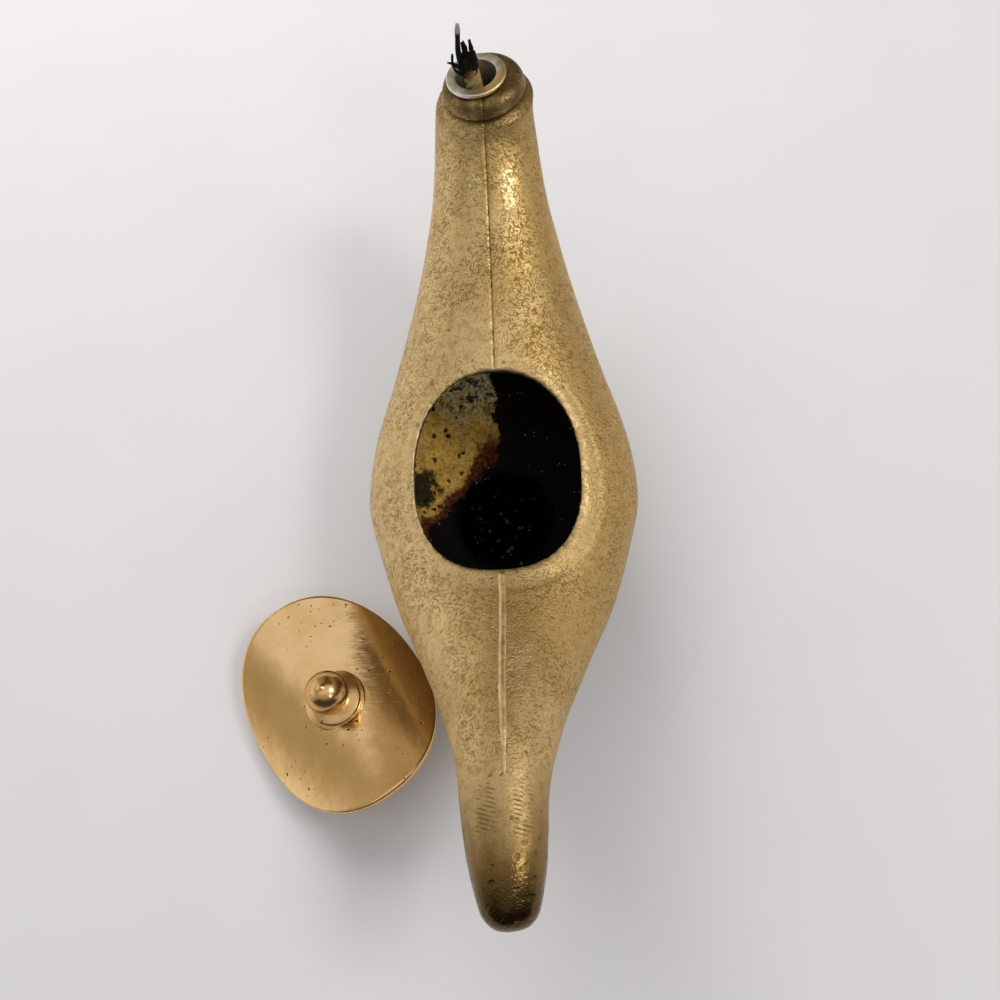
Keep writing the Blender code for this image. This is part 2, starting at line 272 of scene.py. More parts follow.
def smooth_route(corners, steps):
    """Points on one smooth curve through all the corners."""
    corners = [Vector(corner) for corner in corners]
    padded = [2 * corners[0] - corners[1], *corners, 2 * corners[-1] - corners[-2]]
    route = []
    for a, b, c, d in zip(padded, padded[1:], padded[2:], padded[3:]):
        for step in range(steps):
            t = step / steps
            route.append(0.5 * (2 * b + (c - a) * t + (2 * a - 5 * b + 4 * c - d) * t * t
                                + (3 * b - a - 3 * c + d) * t * t * t))
    route.append(corners[-1])
    return route


def cord_curve(name, route, radii, twist=0.0, section=None, sides=2):
    """A curve of one open spline along route, in millimetres, made into a mesh."""
    curve = bpy.data.curves.new(name, "CURVE")
    curve.dimensions = "3D"
    curve.use_fill_caps = True
    spline = curve.splines.new("POLY")
    spline.points.add(len(route) - 1)
    turned = 0.0
    for i, (point, radius) in enumerate(zip(route, radii)):
        if i:
            turned += twist * (point - route[i - 1]).length
        spline.points[i].co = (*(point * MM), 1.0)
        spline.points[i].radius = radius
        spline.points[i].tilt = turned
    if section:
        curve.bevel_mode = "OBJECT"
        curve.bevel_object = section
    else:
        curve.bevel_depth = MM
        curve.bevel_resolution = sides
    obj = bpy.data.objects.new(name, curve)
    bpy.context.scene.collection.objects.link(obj)
    pick(obj)
    bpy.ops.object.convert(target="MESH")
    obj = bpy.context.object
    select_all_points(obj)
    bpy.ops.mesh.remove_doubles(threshold=0.01 * MM)
    bpy.ops.mesh.normals_make_consistent(inside=False)
    bpy.ops.object.mode_set(mode="OBJECT")
    pick(obj)
    bpy.ops.object.shade_smooth()
    return obj


wick_route = smooth_route(WICK_ROUTE, ROUTE_STEPS)

# %% Twisted cord
STRANDS = 5
SECTION_POINTS = 40
TWIST_PITCH = 11.0        # mm of cord in one full turn of a strand

section_curve = bpy.data.curves.new("wick_section", "CURVE")
section_curve.dimensions = "2D"
section_line = section_curve.splines.new("POLY")
section_line.points.add(SECTION_POINTS - 1)
for i, point in enumerate(section_line.points):
    angle = 2 * math.pi * i / SECTION_POINTS
    reach = WICK_DIAMETER / 2 * (0.84 + 0.18 * abs(math.cos(STRANDS * angle / 2)))
    point.co = (reach * math.cos(angle) * MM, reach * math.sin(angle) * MM, 0.0, 1.0)
section_line.use_cyclic_u = True
section = bpy.data.objects.new("wick_section", section_curve)
bpy.context.scene.collection.objects.link(section)

swell = [0.20 + 0.80 * smooth_step(i, 0, 13) for i in range(len(wick_route))]
wick = cord_curve("wick_cord", wick_route, swell, 2 * math.pi / TWIST_PITCH, section)
bpy.data.objects.remove(section)

# %% [markdown]
# The flame has opened the top of the wick. The burnt strands spread into a ragged black crown,
# and the longest one still carries a bead of grey ash. Each strand is a short curve of its own
# that grows thinner to its tip, and they are joined into one piece.

# %% Burnt crown
CROWN_STRANDS = {         # radius at the root, then the points it passes, all in mm
    "long": (1.2, [(-4.7, 106.7, 95.0), (-5.5, 106.6, 98.0), (-5.8, 106.6, 101.5),
                   (-5.5, 106.5, 106.0), (-5.2, 107.1, 110.2)]),
    "peak": (1.2, [(-3.0, 106.3, 95.0), (-2.8, 106.5, 98.5), (-2.2, 106.4, 101.5),
                   (-2.5, 107.2, 104.3)]),
    "middle": (1.5, [(-3.7, 106.3, 94.5), (-3.9, 106.2, 97.0), (-3.6, 106.3, 98.6),
                     (-3.3, 106.6, 99.8)]),
    "side": (1.5, [(-2.3, 106.0, 93.8), (-1.8, 105.8, 96.5), (-1.5, 105.9, 98.8),
                   (-1.7, 106.1, 101.4)]),
    "hook": (0.42, [(-3.9, 106.9, 99.0), (-3.5, 106.8, 101.6), (-3.9, 106.9, 103.2),
                    (-4.2, 107.0, 104.4)]),
    "front": (1.1, [(-3.4, 105.4, 93.5), (-3.9, 105.2, 95.8), (-4.2, 105.4, 97.8),
                    (-4.4, 105.8, 99.6)]),
    "left edge": (0.8, [(-4.2, 105.8, 94.5), (-5.3, 105.9, 97.0), (-5.7, 106.0, 99.5),
                        (-5.4, 106.2, 101.2)]),
    "droop": (0.8, [(-3.6, 105.6, 93.2), (-5.0, 105.4, 95.2), (-6.5, 105.4, 96.8),
                    (-7.6, 105.6, 98.0), (-7.5, 106.2, 100.6)]),
    "droop tip": (0.55, [(-6.4, 105.3, 97.0), (-7.6, 105.4, 97.9), (-9.1, 105.4, 98.4)]),
    "loop": (0.62, [(-3.6, 105.2, 92.8), (-5.2, 105.1, 94.0), (-6.9, 105.2, 95.2),
                    (-7.9, 105.6, 97.4)]),
}
crown_parts = []
for name, (root, corners) in CROWN_STRANDS.items():
    route = smooth_route(corners, 5)
    share = np.linspace(0.0, 1.0, len(route))
    knots = 1.0 + 0.16 * np.sin(share * 21.0 + root * 9.0)
    taper = root * (1.0 - 0.72 * share) * knots + 0.06
    if name == "long":
        taper = np.interp(share, [0.0, 0.45, 0.75, 0.90, 1.0], [1.2, 0.80, 0.66, 0.78, 0.50])
    crown_parts.append(cord_curve(name, route, taper, sides=2))
clear_selection()
for strand in crown_parts:
    strand.select_set(True)
bpy.context.view_layer.objects.active = crown_parts[0]
bpy.ops.object.join()
crown = bpy.context.object
print("crown strands:", len(CROWN_STRANDS))

# %% [markdown]
# Cotton that has soaked up lamp oil is yellow-brown and dull, with darker lines between its
# strands. Near the flame it is singed brown and then black, and the ash on the tip is grey.
# The height above the floor decides the colour, with some noise so that the edge is ragged.

# %% Material: oiled cotton wick
CHAR_HEIGHT = 96.2        # mm above the floor
ASH_HEIGHT = 107.9


def cotton_material(name, char_height):
    material, tree, shader = new_material(name, Roughness=0.85)
    shader.inputs["Specular IOR Level"].default_value = 0.25
    place = place_in_mm(tree)
    axes = add_node(tree, "SeparateXYZ", {0: place})
    ragged = maths(tree, "MULTIPLY_ADD", noise(tree, place, 1.6), 5.0, -2.5)
    height = maths(tree, "ADD", axes.outputs["Z"], ragged)
    lean = maths(tree, "MULTIPLY_ADD", axes.outputs["X"], -0.9, -2.8)
    height = maths(tree, "ADD", height, lean)
    oily = blend(tree, noise(tree, place, 1.1), linear("#8A6A32"), linear("#D6BE86"))
    singed = blend(tree, ramp(tree, height, char_height - 4.0, char_height - 0.6),
                   oily, linear("#5A3416"))
    burnt = blend(tree, ramp(tree, height, char_height - 1.2, char_height + 0.6),
                  singed, linear("#0B0A09"))
    ash = blend(tree, ramp(tree, axes.outputs["Z"], ASH_HEIGHT - 0.6, ASH_HEIGHT + 0.5),
                burnt, linear("#A4A5A2"))
    tree.links.new(ash, shader.inputs["Base Color"])
    fibres = add_node(tree, "TexNoise", {"Vector": place, "Scale": 3.4, "Detail": 4.0})
    set_relief(tree, shader, fibres.outputs["Fac"], 0.9, 0.35)
    return material


oiled_cotton = cotton_material("oiled cotton wick", CHAR_HEIGHT)
hand_over(wick, "wick_cord", [oiled_cotton], "wick", ["wick"])
hand_over(crown, "wick_crown", [cotton_material("charred cotton", CHAR_HEIGHT - 3.0)],
          "wick")


# %% [markdown]
# Several pieces are round because they were turned on a lathe: the flanged wick tube and the
# knob. Such a piece is drawn as half of its outline, point by point, and spun about its axis.

# %% A function that turns an outline
def turned_piece(outline, steps):
    """Extrudes a point along an outline of (radius, height) in mm and spins it about Z."""
    clear_selection()
    bpy.ops.mesh.primitive_plane_add(size=MM)
    obj = bpy.context.object
    bpy.ops.object.mode_set(mode="EDIT")
    bpy.ops.mesh.select_all(action="SELECT")
    bpy.ops.mesh.merge(type="CENTER")
    bpy.ops.transform.translate(value=(outline[0][0] * MM, 0.0, outline[0][1] * MM))
    for (r0, h0), (r1, h1) in zip(outline, outline[1:]):
        bpy.ops.mesh.extrude_vertices_move(TRANSFORM_OT_translate={
            "value": ((r1 - r0) * MM, 0.0, (h1 - h0) * MM)})
    bpy.ops.mesh.select_all(action="SELECT")
    bpy.ops.mesh.spin(steps=steps, angle=2 * math.pi, center=(0, 0, 0), axis=(0, 0, 1))
    bpy.ops.mesh.select_all(action="SELECT")
    bpy.ops.mesh.remove_doubles(threshold=0.002 * MM)
    bpy.ops.mesh.normals_make_consistent(inside=False)
    bpy.ops.object.mode_set(mode="OBJECT")
    bpy.ops.object.shade_smooth_by_angle(angle=math.radians(40))
    return obj


# %% Wick tube with its flange
NOZZLE_SEAT = Vector((-1.64, 107.5, 89.5))
NOZZLE_TURN = (math.radians(-7.4), math.radians(-6.0), 0.0)
TUBE_OUTLINE = [(5.85, -14.0), (5.85, 1.2), (5.98, 1.42), (6.25, 1.5), (8.2, 1.5), (8.5, 1.42),
                (8.66, 1.22), (8.7, 0.95), (8.66, 0.5), (8.5, 0.3), (6.8, 0.3), (6.8, -14.0),
                (5.85, -14.0)]
wick_tube = turned_piece(TUBE_OUTLINE, 96)
place_piece(wick_tube, NOZZLE_TURN, NOZZLE_SEAT * MM)
print("tube, mm:", [round(side / MM, 1) for side in wick_tube.dimensions])

# %% [markdown]
# The tube's flange looks like silver solder or tin over brass: grey and softly shiny, with fine
# scratches and small dull spots, and warm brass showing where its edge is worn. Soot from the
# wick has blackened the inside of the tube.

# %% Material: tinned brass flange
TUBE_LEAN = (0.105, -0.1306)      # how far the axis leans to -X and -Y per mm of height
TUBE_FOOT = (7.76, 95.81)         # where the axis would meet the floor, in mm
SOOT_REACH = (5.6, 6.1)           # soot fades out between these distances from the axis

tinned_brass, tree, shader = new_material("tinned brass tube", Metallic=1.0)
place = place_in_mm(tree)
axes = add_node(tree, "SeparateXYZ", {0: place})
mottled = blend(tree, ramp(tree, noise(tree, place, 2.2), 0.35, 0.7),
                linear("#D2CEC4"), linear("#F2F1EC"))
edge_side = maths(tree, "SUBTRACT", axes.outputs["X"], axes.outputs["Y"])
edge_side = maths(tree, "ADD", edge_side, maths(tree, "MULTIPLY", noise(tree, place, 1.5), 3.0))
worn = blend(tree, ramp(tree, edge_side, -103.5, -98.0), mottled, linear("#F0D6A0"))
from_axis = [maths(tree, "ADD", maths(tree, "MULTIPLY_ADD", axes.outputs["Z"], lean,
                                      axes.outputs[axis]), -foot)
             for axis, lean, foot in zip("XY", TUBE_LEAN, TUBE_FOOT)]
soot = ramp(tree, reach_of(tree, *from_axis), *SOOT_REACH, 1.0, 0.0)
sooted = blend(tree, soot, worn, linear("#0D0B07"))
tree.links.new(sooted, shader.inputs["Base Color"])
tree.links.new(ramp(tree, noise(tree, place, 0.9), 0.3, 0.7, 0.34, 0.46),
               shader.inputs["Roughness"])
set_relief(tree, shader, noise(tree, place, 0.6), 0.5, 0.1)
hand_over(wick_tube, "wick_tube_turned", [tinned_brass], "wick_holder",
          ["wick_tube"])

# %% [markdown]
# The body was sand cast in two halves. The CAD halves have the right shape, but their skin is
# made of flat facets. So both are copied, closed along the joint and remeshed into small even
# squares, which can then be smoothed like filing a casting: strongly on the open skin, and
# hardly at all at the rim of the opening, the nozzle and the edge of the foot.

# %% One shell from both halves
JOINT_GAP = 0.2           # mm, a little over half the gap between the CAD halves
VOXEL = 0.8               # mm

clear_selection()
for name in ("body_left_half", "body_right_half"):
    half = bpy.data.objects.new(name + "_copy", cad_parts[name].data.copy())
    bpy.context.scene.collection.objects.link(half)
    half.select_set(True)
    bpy.context.view_layer.objects.active = half
bpy.ops.object.join()
shell = bpy.context.object
places = points_of(shell)
places[np.abs(places[:, 0]) < JOINT_GAP, 0] = 0.0
move_points(shell, places)
select_all_points(shell)
bpy.ops.mesh.remove_doubles(threshold=0.03 * MM)
bpy.ops.object.mode_set(mode="OBJECT")
off_joint = np.abs(points_of(shell)[:, 0]) > 0.001
inner_wall = [not off_joint[list(face.vertices)].any() for face in shell.data.polygons]
select_in(shell, "polygons", inner_wall)
bpy.ops.mesh.delete(type="FACE")
bpy.ops.object.mode_set(mode="OBJECT")
apply_modifier(shell, "REMESH", mode="VOXEL", voxel_size=VOXEL * MM, use_smooth_shade=True)
print("shell points:", len(shell.data.vertices))

# %% [markdown]
# Distances decide what is smoothed. The opening is an oval with slightly straightened sides,
# so a formula gives how far a point is from its edge. The nozzle has an axis of its own, and a
# matrix turns a place into height along that axis and distance from it.

# %% Distances on the shell
OPENING_CENTRE = (-0.3, 0.0)
OPENING_HALF = (23.5, 28.5)
OPENING_POWER = 2.3
RIM_ABOVE = 42.0          # mm; the rim of the opening lies above this height
RIM_REACH = 1.6           # mm on each side of the opening's edge that belong to its rim
TOP_ABOVE = 45.0          # mm; the body's top side lies above this height round the opening
COLLAR_OFFSET = 1.4
from_seat = Matrix.LocRotScale(NOZZLE_SEAT, None, None) @ Matrix.Rotation(
    NOZZLE_TURN[1], 4, "Y") @ Matrix.Rotation(NOZZLE_TURN[0], 4, "X")
to_seat = np.array(from_seat.inverted())


def from_opening(places):
    """Distance outside the edge of the opening, seen from above, in mm."""
    across = np.abs(places[:, 0] - OPENING_CENTRE[0]) / OPENING_HALF[0]
    along = np.abs(places[:, 1] - OPENING_CENTRE[1]) / OPENING_HALF[1]
    reach = (across ** OPENING_POWER + along ** OPENING_POWER) ** (1 / OPENING_POWER)
    return (reach - 1.0) * np.hypot(places[:, 0], places[:, 1]) / np.maximum(reach, 0.01)


def on_nozzle(places):
    """Height along the nozzle's axis and distance from it, in mm."""
    local = places @ to_seat[:3, :3].T + to_seat[:3, 3]
    return local[:, 2], np.hypot(local[:, 0] - COLLAR_OFFSET, local[:, 1])


# %% File the skin smooth
STRONG, LIGHT = 80, 10


def file_smooth(obj, mask, repeat):
    """Smooths twice and gives back what the second pass took, so that nothing shrinks."""
    passes = []
    for _ in range(2):
        select_in(obj, "vertices", mask)
        bpy.ops.mesh.vertices_smooth(factor=0.5, repeat=repeat)
        bpy.ops.object.mode_set(mode="OBJECT")
        passes.append(points_of(obj))
    move_points(obj, 2 * passes[0] - passes[1])


places = points_of(shell)
height, reach = on_nozzle(places)
edge = from_opening(places)
detail = (np.abs(edge) < 2.2) & (places[:, 2] > RIM_ABOVE)
detail |= (height > -8.5) & (reach < 16.0)
detail |= (places[:, 2] < 6.5)
file_smooth(shell, np.ones(len(places)), LIGHT)
file_smooth(shell, ~detail, STRONG)
print("left sharp:", int(detail.sum()), "points")

# %% [markdown]
# Real castings are never as even as a drawing. This one is up to 1.2 mm fuller than the CAD
# halves on the flanks of its spout, on the right of its belly and at the tail. Only skin that faces sideways
# is pushed out, so the opening and the top line keep their places.

# %% Fuller flanks
FLANK_AT = [-112.0, -104.0, -88.0, -76.0, -50.0, -35.0, 30.0, 42.0, 60.0, 76.0, 98.0, 104.0]
FULLER_LEFT = [0.0, 0.5, 0.9, 0.4, 0.0, 0.0, 0.15, 0.1, 0.4, 1.0, 1.15, 1.1]
FULLER_RIGHT = [1.1, 1.2, 0.4, 0.5, 0.3, 0.9, 0.95, 0.7, 0.9, 1.2, 0.6, 0.4]

places = points_of(shell)
height, reach = on_nozzle(places)
side = np.sign(places[:, 0])
fuller = np.where(side < 0, np.interp(places[:, 1], FLANK_AT, FULLER_LEFT),
                  np.interp(places[:, 1], FLANK_AT, FULLER_RIGHT))
fuller *= smooth_step(side * normals_of(shell)[:, 0], 0.1, 0.7)
fuller *= smooth_step(places[:, 2], 14.0, 32.0)
fuller *= np.maximum(1.0 - smooth_step(height, -7.5, -4.5), smooth_step(reach, 12.5, 13.3))
places[:, 0] += side * fuller
move_points(shell, places)
print("most added to a flank, mm:", round(float(fuller.max()), 2))

# %% [markdown]
# The nozzle's domed collar ends in a groove that was cut with a file after casting. The skin
# there is divided once more and its points are pulled in to the groove's outline. The lid's
# seat is a band round the opening, filed a fifth of a millimetre below the rest. It is a little
# wider on the right towards the tail.

# %% Groove, lid seat and seam
GROOVE_HEIGHT = [-8.0, -6.9, -6.2, -5.7, -5.2, -4.8, -4.3, -3.4]
GROOVE_REACH = [16.0, 13.2, 12.3, 11.5, 11.2, 11.5, 12.15, 12.6]
SEAT_WIDTH = 4.6
SEAT_DEPTH = 0.18

places = points_of(shell)
height, reach = on_nozzle(places)
near_groove = (height > -8.0) & (height < -2.5) & (reach > 9.5) & (reach < 15.5)
select_in(shell, "vertices", near_groove)
bpy.ops.mesh.subdivide(number_cuts=1)
bpy.ops.object.mode_set(mode="OBJECT")

places = points_of(shell)
height, reach = on_nozzle(places)
wanted = np.interp(height, GROOVE_HEIGHT, GROOVE_REACH)
cut = (height > -8.0) & (height < -3.4) & (reach > 10.2) & (reach > wanted)
axis_x = np.array(from_seat)[:3, :3] @ np.array([1.0, 0.0, 0.0])
middle = (np.array(from_seat)[:3, 3] + axis_x * COLLAR_OFFSET
          + np.outer(height, np.array(from_seat)[:3, 2]))
outward = (places - middle) / np.maximum(reach, 0.01)[:, None]
places[cut] += outward[cut] * (wanted - reach)[cut, None]


def seat_edge(places):
    """Distance past the outer edge of the lid's seat, in mm; less than 0 on the seat."""
    width = SEAT_WIDTH + 2.0 * smooth_step(places[:, 0] - places[:, 1], 12.0, 40.0)
    return from_opening(places) - width


on_seat = 1.0 - smooth_step(seat_edge(places), -0.6, 0.6)
upper = places[:, 2] > TOP_ABOVE
places -= normals_of(shell) * (SEAT_DEPTH * on_seat * upper)[:, None]
move_points(shell, places)
print("groove points moved:", int(cut.sum()))

# %% [markdown]
# The halves meet on a seam that shows as a fine groove in front of the opening. The shell is
# cut along the seam and on both sides of it, the middle line is sunk, and the shell is then
# split there. Each half is closed again with a flat wall, so it is a solid casting.

# %% Seam and split
SEAM_HALF = 0.42
SEAM_DEPTH = 0.28
SEAM_FROM = 29.0          # mm along Y, just ahead of the opening

places = points_of(shell)
for line in (-SEAM_HALF, 0.0, SEAM_HALF):
    places[np.abs(places[:, 0] - line) < 0.2, 0] = line
move_points(shell, places)
for line in (-SEAM_HALF, 0.0, SEAM_HALF):
    select_all_points(shell)
    bpy.ops.mesh.bisect(plane_co=(line * MM, 0, 0), plane_no=(1, 0, 0), threshold=0.01 * MM)
    bpy.ops.object.mode_set(mode="OBJECT")
places = points_of(shell)
normals = normals_of(shell)
on_seam = (np.abs(places[:, 0]) < 0.02) & (places[:, 2] > 50.0) & (normals[:, 2] > 0.2)
on_seam &= places[:, 1] > SEAM_FROM
select_in(shell, "vertices", on_seam)
bpy.ops.transform.shrink_fatten(value=-SEAM_DEPTH * MM)
bpy.ops.object.mode_set(mode="OBJECT")
skin = BVHTree.FromPolygons([Vector(place) for place in points_of(shell)],
                            [face.vertices[:] for face in shell.data.polygons])
print("seam points:", int(on_seam.sum()))


# %% Marks that the materials read
def centre_line(places):
    """Height of the body's middle at each place, from its widest points in slices along Y."""
    slices = np.arange(-110.0, 105.0, 5.0)
    levels = []
    for y in slices:
        near = places[np.abs(places[:, 1] - y) < 1.2]
        widest = near[np.abs(near[:, 0]) > np.abs(near[:, 0]).max() - 0.25]
        levels.append(widest[:, 2].mean())
    return slices, np.array(levels)


def rim_line(places, bins=60):
    """Height of the rim's top edge all round the opening."""
    turn = np.arctan2(places[:, 1], places[:, 0])
    near = (np.abs(from_opening(places)) < RIM_REACH) & (places[:, 2] > RIM_ABOVE)
    centres = np.linspace(-math.pi, math.pi, bins + 1)
    tops = []
    for centre in centres:
        apart = np.abs((turn - centre + math.pi) % (2 * math.pi) - math.pi)
        tops.append(places[near & (apart < math.pi / bins), 2].max())
    return centres, np.array(tops)


slices, levels = centre_line(points_of(shell))
rim_turns, rim_tops = rim_line(points_of(shell))


def below_rim(places):
    """Depth under the rim's top edge in the opening, in mm; 0 away from the opening."""
    turn = np.arctan2(places[:, 1], places[:, 0])
    depth = np.interp(turn, rim_turns, rim_tops) - places[:, 2]
    return depth * (from_opening(places) < RIM_REACH) * (places[:, 2] > RIM_ABOVE)


def store(obj, name, values):
    attribute = obj.data.attributes.new(name, "FLOAT", "POINT")
    attribute.data.foreach_set("value", np.asarray(values, float))


OIL_SPACE_ENDS = (-86.0, 98.0)    # mm along Y
OIL_SPACE_FLOOR = 10.5
WELL_REACH, WELL_TOP = 17.6, 24.0
BORE_REACH = 9.0
DARK_BELOW_RIM = 1.7              # mm under the rim's top where the oily colour starts


def inner_faces(obj):
    """True for each face of the oil space and of the well in the foot."""
    middles = np.array([face.center[:] for face in obj.data.polygons]) / MM
    facing = np.array([face.normal[:] for face in obj.data.polygons])
    axis = np.zeros_like(middles)
    axis[:, 1] = middles[:, 1]
    axis[:, 2] = np.interp(middles[:, 1], slices, levels)
    inward = axis - middles
    inward /= np.linalg.norm(inward, axis=1)[:, None]
    inside = (facing * inward).sum(1) > 0.3
    in_well = (np.hypot(middles[:, 0], middles[:, 1]) < WELL_REACH) & (middles[:, 2] < WELL_TOP)
    height, reach = on_nozzle(middles)
    in_body = (middles[:, 1] > OIL_SPACE_ENDS[0]) & (middles[:, 1] < OIL_SPACE_ENDS[1])
    in_body &= middles[:, 2] > OIL_SPACE_FLOOR
    wall_top = (from_opening(middles) < 0.6) & (middles[:, 2] > RIM_ABOVE) & (facing[:, 2] > 0.35)
    in_bore = (reach < BORE_REACH) & (height < -1.0) & ((height > -12.0) | (facing[:, 2] > 0.0))
    in_opening = (from_opening(middles) < RIM_REACH) & (middles[:, 2] > RIM_ABOVE)
    chosen = ((inside & in_body) | in_well | in_bore) & ~wall_top
    return np.where(in_opening, below_rim(middles) > DARK_BELOW_RIM, chosen)


def split_half(name, side):
    """One half of the shell as a closed solid."""
    half = bpy.data.objects.new(name, shell.data.copy())
    bpy.context.scene.collection.objects.link(half)
    select_all_points(half)
    bpy.ops.mesh.bisect(plane_co=(0, 0, 0), plane_no=(-side, 0, 0), clear_outer=True,
                        threshold=0.01 * MM)
    bpy.ops.mesh.select_mode(type="EDGE")
    bpy.ops.mesh.select_all(action="DESELECT")
    bpy.ops.mesh.select_non_manifold(extend=False, use_wire=False, use_boundary=True,
                                     use_multi_face=False, use_non_contiguous=False,
                                     use_verts=False)
    bpy.ops.mesh.fill(use_beauty=True)
    bpy.ops.mesh.select_all(action="SELECT")
    bpy.ops.mesh.normals_make_consistent(inside=False)
    bpy.ops.object.mode_set(mode="OBJECT")
    bpy.ops.object.shade_smooth_by_angle(angle=math.radians(50))
    places = points_of(half)
    height, reach = on_nozzle(places)
    store(half, "seat", smooth_step(seat_edge(places), -0.9, 0.9) * (places[:, 2] > TOP_ABOVE)
          + (places[:, 2] <= TOP_ABOVE))
    in_groove = np.exp(-((height + 5.3) / 0.75) ** 2) * (reach < 12.6) * (reach > 10.0)
    in_seam = 0.50 * np.exp(-(places[:, 0] / 0.25) ** 2) * (places[:, 1] > SEAM_FROM)
    in_neck = smooth_step(below_rim(places), 0.7, 1.5)
    store(half, "grime", np.maximum(np.maximum(in_groove, in_seam), in_neck * 1.1))
    store(half, "lip", np.exp(-(from_opening(places) / 0.9) ** 2) * (places[:, 2] > TOP_ABOVE))
    places[:, 0] += side * 0.01
    move_points(half, places)
    return half


left_half = split_half("cast_left", -1)
right_half = split_half("cast_right", 1)
bpy.data.objects.remove(shell)

# %% [markdown]
# Behind the opening the joint was closed with hard solder, which stands up as a pale round bead and
# runs out towards the tail. It is a cord laid on the skin: rays shot down on the crest give its
# heights, and it sinks into the metal at its end.

# %% Seam bead
BEAD_START, BEAD_END = -29.6, -88.0
BEAD_STEPS = 44
bead_route, bead_radius = [], []
for share in np.linspace(0.0, 1.0, BEAD_STEPS):
    y = BEAD_START + (BEAD_END - BEAD_START) * share
    x = 0.35 + 0.15 * math.sin(share * 9.0)
    on_skin, _, _, _ = skin.ray_cast(Vector((x, y, 120.0)), Vector((0.0, 0.0, -1.0)))
    sink = 0.72 + 0.55 * float(smooth_step(share, 0.55, 1.0))
    bead_route.append(on_skin - Vector((0.0, 0.0, sink)))
    bead_radius.append(1.18 + 0.06 * math.sin(share * 37.0))
bead = cord_curve("solder_bead", bead_route, bead_radius, sides=4)

# %% [markdown]
# The outside is cast yellow brass, filed, then covered with thousands of short chisel cuts and
# left to age. Its roughness is about 0.5. The cuts are 0.7 to 1.5 mm long, lie in
# all directions and hold dark tarnish. A cell pattern makes them: every cell has its own random
# direction, and the distance from a short line through its middle draws one cut. Round the
# opening the lid has kept the seat smooth and bright. The tail is smoother and darker, and its tip is
# painted dark as a reflection.

# %% Chisel cuts
def chisel_cuts(tree, place, facing, cell, length, width, share):
    """One short cut in most cells of the given size, all in mm: 1 on a cut and 0 beside it."""
    cells = add_node(tree, "TexVoronoi", {"Vector": place, "Scale": 1.0 / cell})
    offset = add_node(tree, "VectorMath", {0: place, 1: cells.outputs["Position"]},
                      operation="SUBTRACT").outputs[0]
    random_way = add_node(tree, "VectorMath", {0: cells.outputs["Color"], 1: (0.5, 0.5, 0.5)},
                          operation="SUBTRACT").outputs[0]
    along = add_node(tree, "VectorMath", {0: random_way, 1: facing},
                     operation="CROSS_PRODUCT").outputs[0]
    along = add_node(tree, "VectorMath", {0: along}, operation="NORMALIZE").outputs[0]
    across = add_node(tree, "VectorMath", {0: along, 1: facing},
                      operation="CROSS_PRODUCT").outputs[0]
    lengthwise = add_node(tree, "VectorMath", {0: offset, 1: along},
                          operation="DOT_PRODUCT").outputs["Value"]
    sideways = add_node(tree, "VectorMath", {0: offset, 1: across},
                        operation="DOT_PRODUCT").outputs["Value"]
    past_end = maths(tree, "MAXIMUM", maths(tree, "SUBTRACT", maths(
        tree, "ABSOLUTE", lengthwise), length / 2), 0.0)
    cut = ramp(tree, reach_of(tree, past_end, sideways), width * 0.25, width * 0.75, 1.0, 0.0)
    chosen = add_node(tree, "SeparateColor", {0: cells.outputs["Color"]}).outputs["Blue"]
    return maths(tree, "MULTIPLY", cut, ramp(tree, chosen, share, share + 0.1, 1.0, 0.0))


# %% Material: aged cast brass
aged_brass, tree, shader = new_material("aged cast brass", Metallic=1.0)
place = place_in_mm(tree)
axes = add_node(tree, "SeparateXYZ", {0: place})
facing = add_node(tree, "NewGeometry").outputs["Normal"]
off_seat = add_node(tree, "Attribute", attribute_name="seat").outputs["Fac"]
grime = add_node(tree, "Attribute", attribute_name="grime").outputs["Fac"]

finest_cuts = chisel_cuts(tree, place, facing, 0.80, 0.45, 0.27, 0.50)
fine_cuts = chisel_cuts(tree, place, facing, 1.20, 0.70, 0.31, 0.52)
long_cuts = chisel_cuts(tree, place, facing, 1.90, 1.10, 0.42, 0.34)
pits = chisel_cuts(tree, place, facing, 5.2, 0.45, 0.70, 0.30)
density = ramp(tree, noise(tree, place, 14.0, 3.0), 0.30, 0.62, 0.40, 1.0)
cuts = maths(tree, "MAXIMUM", maths(tree, "MULTIPLY", fine_cuts, 0.70),
             maths(tree, "MULTIPLY", finest_cuts, 0.60))
cuts = maths(tree, "MAXIMUM", cuts, maths(tree, "MULTIPLY", long_cuts, 0.85))
cuts = maths(tree, "MULTIPLY", cuts, density)

hatch_wave = maths(tree, "MULTIPLY_ADD", axes.outputs["X"], 0.28, axes.outputs["Y"])
hatch_wave = maths(tree, "SINE", maths(tree, "MULTIPLY", hatch_wave, 2 * math.pi / 1.05))
hatch = ramp(tree, hatch_wave, 0.45, 0.95)
sides = maths(tree, "ABSOLUTE", maths(tree, "ADD", axes.outputs["X"], -0.4))
columns = maths(tree, "MULTIPLY", ramp(tree, sides, 1.6, 2.6), ramp(tree, sides, 6.0, 7.4, 1.0, 0.0))
rows = maths(tree, "MULTIPLY", ramp(tree, axes.outputs["Y"], -98.0, -95.5),
             ramp(tree, axes.outputs["Y"], -86.0, -82.0, 1.0, 0.0))
hatch = maths(tree, "MULTIPLY", maths(tree, "MULTIPLY", hatch, columns), rows)
hatch = maths(tree, "MULTIPLY", hatch, ramp(tree, noise(tree, place, 2.0), 0.40, 0.58))
hatch = maths(tree, "MULTIPLY", hatch, ramp(tree, axes.outputs["Z"], 70.0, 73.0))

